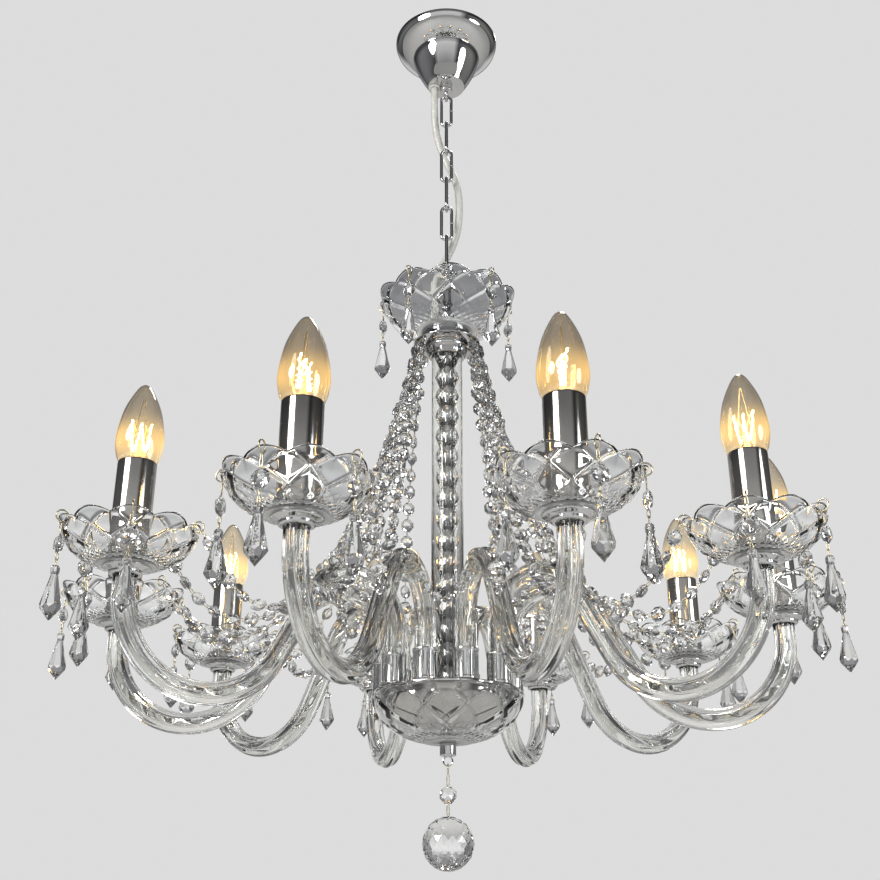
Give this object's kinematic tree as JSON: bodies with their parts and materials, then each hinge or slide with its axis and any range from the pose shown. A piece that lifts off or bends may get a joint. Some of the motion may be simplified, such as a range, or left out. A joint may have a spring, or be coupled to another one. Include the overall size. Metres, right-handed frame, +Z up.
{
  "type": "crystal chandelier",
  "caption": "Candle-style crystal chandelier: fluted glass arms on a chrome hub, hung by a chain from a round ceiling canopy, with bead strings, drops and a ball.",
  "frame": {"origin": "The ceiling plane on the chandelier's vertical axis, at the centre of the bracket's upper face.", "axes": "+Z is up into the ceiling and -Z is the way the chandelier hangs; one arm points along +X."},
  "size_m": [0.6514, 0.6194, 0.7891],
  "materials": {
    "chrome": "mirror chrome plate",
    "zinc_steel": "zinc plated steel",
    "clear_glass": "clear drawn glass with lengthwise flutes",
    "cut_glass": "clear pressed and cut glass",
    "crystal": "polished faceted crystal",
    "bulb_glass": "clear bulb glass over a warm filament",
    "bead_wire": "thin bright wire",
    "cable_sheath": "translucent white cable sheath",
    "wire_insulation": "white wire insulation",
    "terminal_plastic": "white moulded plastic"
  },
  "bodies": {
    "ceiling_mount": {"ceiling_bracket": "zinc_steel", "threaded_nipple": "zinc_steel", "lock_nut": "zinc_steel", "terminal_block": "terminal_plastic", "canopy": "chrome", "canopy_eye": "chrome"},
    "top_link": {"chain_top_link": "chrome"},
    "chandelier": {"arm_end_cups": "chrome", "arm_rings": "bead_wire", "arm_sockets": "chrome", "arm_wires": "wire_insulation", "bead_strands": "crystal", "bottom_bowl": "cut_glass", "candle_sleeves": "chrome", "centre_rod": "zinc_steel", "chain_links": "chrome", "column_beads": "crystal", "column_cap": "chrome", "column_tube": "clear_glass", "crown_collar": "chrome", "crown_dish": "cut_glass", "crown_pendants": "crystal", "drip_dishes": "cut_glass", "finial": "chrome", "glass_arms": "clear_glass", "hub_plate": "chrome", "inner_garland": "crystal", "lamp_holders": "terminal_plastic", "rod_loop": "chrome", "rod_wires": "wire_insulation", "side_pendants": "crystal", "strand_rings": "bead_wire", "supply_cable": "cable_sheath", "wire_connector": "terminal_plastic", "wiring_cup": "chrome"},
    "ball_drop": {"ball_ring": "bead_wire", "ball_bead": "crystal", "crystal_ball": "crystal"},
    "bulb_01": {"bulb_01": "bulb_glass"},
    "bulb_02": {"bulb_02": "bulb_glass"},
    "bulb_03": {"bulb_03": "bulb_glass"},
    "bulb_04": {"bulb_04": "bulb_glass"},
    "bulb_05": {"bulb_05": "bulb_glass"},
    "bulb_06": {"bulb_06": "bulb_glass"},
    "bulb_07": {"bulb_07": "bulb_glass"},
    "bulb_08": {"bulb_08": "bulb_glass"},
    "bulb_09": {"bulb_09": "bulb_glass"},
    "bulb_10": {"bulb_10": "bulb_glass"},
    "outer_pendant_01": {"outer_pendant_01": "crystal"},
    "outer_pendant_02": {"outer_pendant_02": "crystal"},
    "outer_pendant_03": {"outer_pendant_03": "crystal"},
    "outer_pendant_04": {"outer_pendant_04": "crystal"},
    "outer_pendant_05": {"outer_pendant_05": "crystal"},
    "outer_pendant_06": {"outer_pendant_06": "crystal"},
    "outer_pendant_07": {"outer_pendant_07": "crystal"},
    "outer_pendant_08": {"outer_pendant_08": "crystal"},
    "outer_pendant_09": {"outer_pendant_09": "crystal"},
    "outer_pendant_10": {"outer_pendant_10": "crystal"}
  },
  "joints": [
    {"name": "sway_side", "type": "hinge", "parent": "ceiling_mount", "child": "top_link", "pos_m": [0, 0, -0.0692], "axis": [0, 1, 0], "range_deg": [-3, 3]},
    {"name": "sway_front", "type": "hinge", "parent": "top_link", "child": "chandelier", "pos_m": [0, 0, -0.1018], "axis": [1, 0, 0], "range_deg": [-3, 3]},
    {"name": "ball_swing", "type": "hinge", "parent": "chandelier", "child": "ball_drop", "pos_m": [0, 0, -0.7119], "axis": [1, 0, 0], "range_deg": [-30, 30]},
    {"name": "bulb_01_out", "type": "slide", "parent": "chandelier", "child": "bulb_01", "axis": [0, 0, 1], "range_m": [0, 0.03]},
    {"name": "bulb_02_out", "type": "slide", "parent": "chandelier", "child": "bulb_02", "axis": [0, 0, 1], "range_m": [0, 0.03]},
    {"name": "bulb_03_out", "type": "slide", "parent": "chandelier", "child": "bulb_03", "axis": [0, 0, 1], "range_m": [0, 0.03]},
    {"name": "bulb_04_out", "type": "slide", "parent": "chandelier", "child": "bulb_04", "axis": [0, 0, 1], "range_m": [0, 0.03]},
    {"name": "bulb_05_out", "type": "slide", "parent": "chandelier", "child": "bulb_05", "axis": [0, 0, 1], "range_m": [0, 0.03]},
    {"name": "bulb_06_out", "type": "slide", "parent": "chandelier", "child": "bulb_06", "axis": [0, 0, 1], "range_m": [0, 0.03]},
    {"name": "bulb_07_out", "type": "slide", "parent": "chandelier", "child": "bulb_07", "axis": [0, 0, 1], "range_m": [0, 0.03]},
    {"name": "bulb_08_out", "type": "slide", "parent": "chandelier", "child": "bulb_08", "axis": [0, 0, 1], "range_m": [0, 0.03]},
    {"name": "bulb_09_out", "type": "slide", "parent": "chandelier", "child": "bulb_09", "axis": [0, 0, 1], "range_m": [0, 0.03]},
    {"name": "bulb_10_out", "type": "slide", "parent": "chandelier", "child": "bulb_10", "axis": [0, 0, 1], "range_m": [0, 0.03]},
    {"name": "outer_pendant_01_swing", "type": "hinge", "parent": "chandelier", "child": "outer_pendant_01", "pos_m": [0.31817, 0, -0.56857], "axis": [0, 1, 0], "range_deg": [-25, 0]},
    {"name": "outer_pendant_02_swing", "type": "hinge", "parent": "chandelier", "child": "outer_pendant_02", "pos_m": [0.2574, 0.18701, -0.56857], "axis": [-0.5878, 0.809, 0], "range_deg": [-25, 0]},
    {"name": "outer_pendant_03_swing", "type": "hinge", "parent": "chandelier", "child": "outer_pendant_03", "pos_m": [0.09832, 0.30259, -0.56857], "axis": [-0.9511, 0.309, 0], "range_deg": [-25, 0]},
    {"name": "outer_pendant_04_swing", "type": "hinge", "parent": "chandelier", "child": "outer_pendant_04", "pos_m": [-0.09832, 0.30259, -0.56857], "axis": [-0.9511, -0.309, 0], "range_deg": [-25, 0]},
    {"name": "outer_pendant_05_swing", "type": "hinge", "parent": "chandelier", "child": "outer_pendant_05", "pos_m": [-0.2574, 0.18701, -0.56857], "axis": [-0.5878, -0.809, 0], "range_deg": [-25, 0]},
    {"name": "outer_pendant_06_swing", "type": "hinge", "parent": "chandelier", "child": "outer_pendant_06", "pos_m": [-0.31817, 0, -0.56857], "axis": [0, -1, 0], "range_deg": [-25, 0]},
    {"name": "outer_pendant_07_swing", "type": "hinge", "parent": "chandelier", "child": "outer_pendant_07", "pos_m": [-0.2574, -0.18701, -0.56857], "axis": [0.5878, -0.809, 0], "range_deg": [-25, 0]},
    {"name": "outer_pendant_08_swing", "type": "hinge", "parent": "chandelier", "child": "outer_pendant_08", "pos_m": [-0.09832, -0.30259, -0.56857], "axis": [0.9511, -0.309, 0], "range_deg": [-25, 0]},
    {"name": "outer_pendant_09_swing", "type": "hinge", "parent": "chandelier", "child": "outer_pendant_09", "pos_m": [0.09832, -0.30259, -0.56857], "axis": [0.9511, 0.309, 0], "range_deg": [-25, 0]},
    {"name": "outer_pendant_10_swing", "type": "hinge", "parent": "chandelier", "child": "outer_pendant_10", "pos_m": [0.2574, -0.18701, -0.56857], "axis": [0.5878, 0.809, 0], "range_deg": [-25, 0]}
  ]
}
